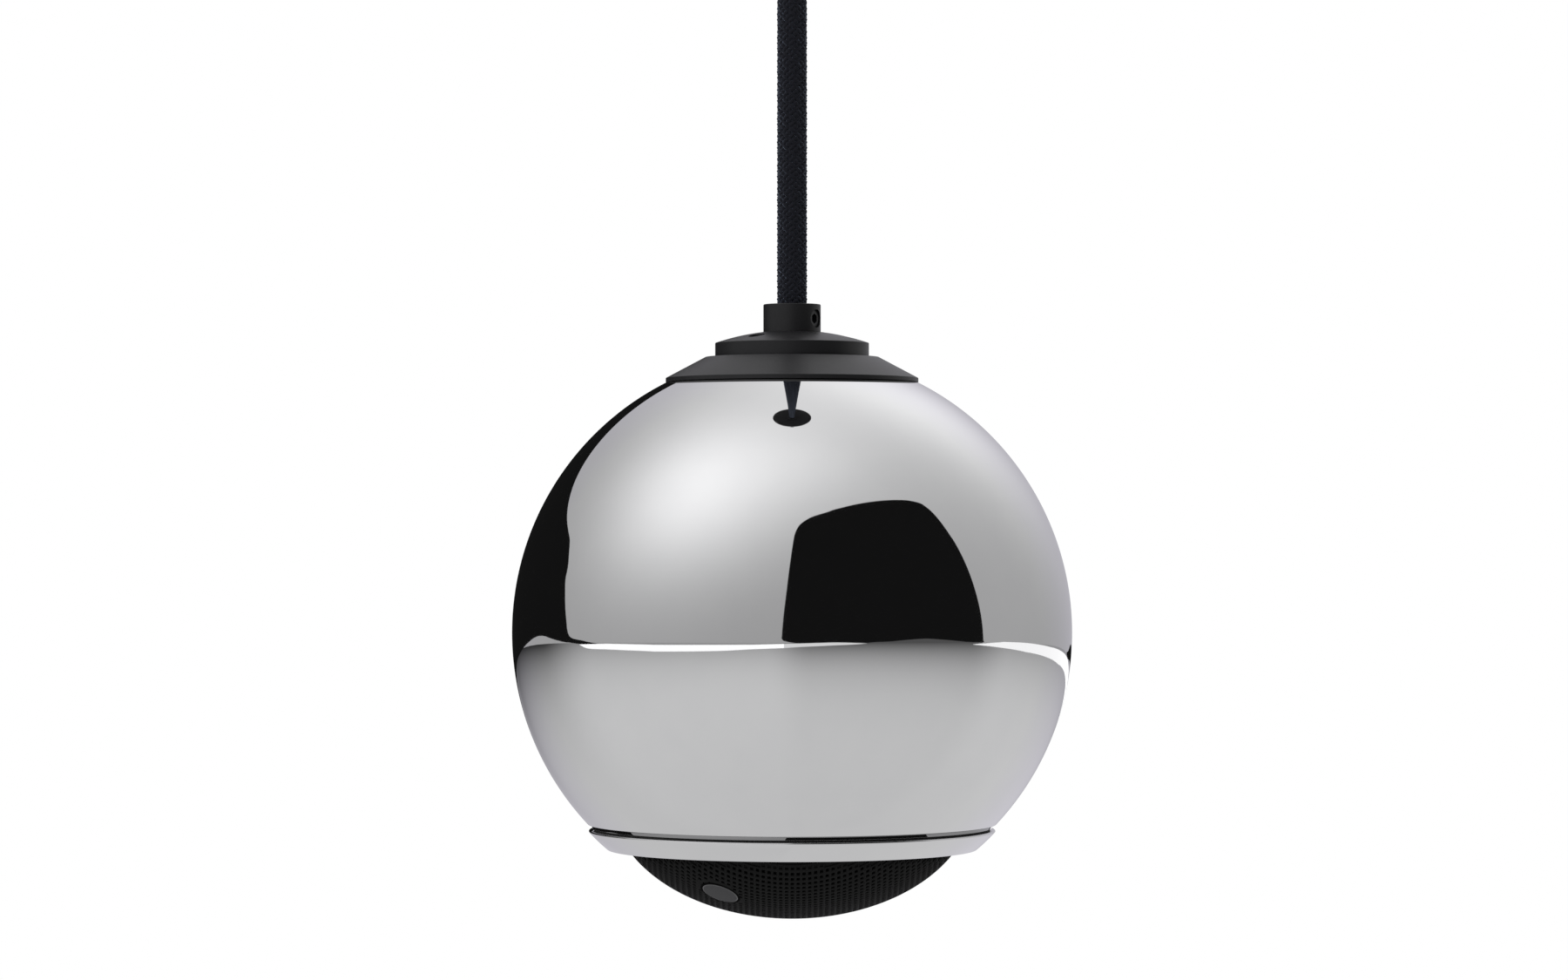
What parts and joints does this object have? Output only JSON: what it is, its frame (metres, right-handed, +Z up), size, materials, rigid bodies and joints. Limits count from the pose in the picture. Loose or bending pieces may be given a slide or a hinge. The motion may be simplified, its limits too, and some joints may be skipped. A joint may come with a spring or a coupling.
{
  "type": "pendant speaker",
  "caption": "Mirror-chrome ball loudspeaker hanging on a braided cord from a ceiling cup, with a black turned collar and a domed black grille facing down",
  "frame": {"origin": "centre of the ceiling plate's top face, in the plane of the ceiling, between the two screw holes", "axes": "+Z is up into the ceiling and the speaker hangs along -Z; the two ceiling screws lie along X; the badge on the grille is at the front left, towards -X and -Y"},
  "size_m": [0.125, 0.125, 0.3935],
  "materials": {
    "mirror_chrome": "mirror polished chrome plate on spun steel",
    "black_coated_metal": "matt black powder coat",
    "black_mesh": "punched steel sheet, matt black",
    "graphite_badge": "dark anodised, blank",
    "black_turned": "matt black anodised, turned",
    "textile_cord": "braided black textile jacket with a navy cast",
    "black_screw": "blackened steel",
    "zinc_steel": "zinc plated",
    "ferrite": "dull dark grey ferrite",
    "black_foam": "closed-cell gasket, matt",
    "roll_rubber": "soft butyl, satin",
    "cone_paper": "black pulp, matt",
    "amber_film": "amber polyimide film",
    "copper_winding": "enamelled copper wire",
    "spider_cloth": "phenolic dipped cotton",
    "felt": "white damping felt",
    "board": "fibre board",
    "tab_brass": "tinned brass",
    "lead_pvc": "PVC insulated wire",
    "white_plastic": "moulded polyamide"
  },
  "bodies": {
    "housing": {"ball_shell": "mirror_chrome", "front_ring": "mirror_chrome", "damping_felt": "felt", "mouth_ring": "mirror_chrome", "gap_gasket": "black_foam", "grille_dome": "black_mesh", "badge": "graphite_badge", "cord_gland": "black_turned", "gland_grub_screw": "black_screw", "collar_cap": "black_turned", "cap_screws": "black_screw", "collar_skirt": "black_turned", "collar_gasket": "black_foam", "nut_plate": "zinc_steel", "gland_nut": "zinc_steel", "cord_ferrule": "zinc_steel", "basket": "black_coated_metal", "driver_gasket": "black_foam", "driver_screws": "black_screw", "top_plate": "zinc_steel", "magnet_ring": "ferrite", "back_plate": "zinc_steel", "surround": "roll_rubber", "spider": "spider_cloth", "terminal_board": "board", "terminal_tabs": "tab_brass", "driver_leads": "lead_pvc", "pendant_cord": "textile_cord", "ceiling_plate": "zinc_steel", "ceiling_cup": "black_turned", "cup_side_screws": "black_screw", "cord_grip": "black_turned", "grip_grub_screw": "black_screw", "grip_nut": "zinc_steel", "terminal_block": "white_plastic", "terminal_screws": "zinc_steel", "block_screw": "zinc_steel", "ceiling_leads": "lead_pvc"},
    "cone_and_coil": {"cone": "cone_paper", "dust_cap": "cone_paper", "voice_coil_former": "amber_film", "voice_coil": "copper_winding"}
  },
  "joints": [
    {"name": "cone_travel", "type": "slide", "parent": "housing", "child": "cone_and_coil", "axis": [0, 0, 1], "range_m": [-0.0025, 0.0025], "stiffness_N_per_m": 1200, "deforming": ["surround", "spider"]}
  ]
}
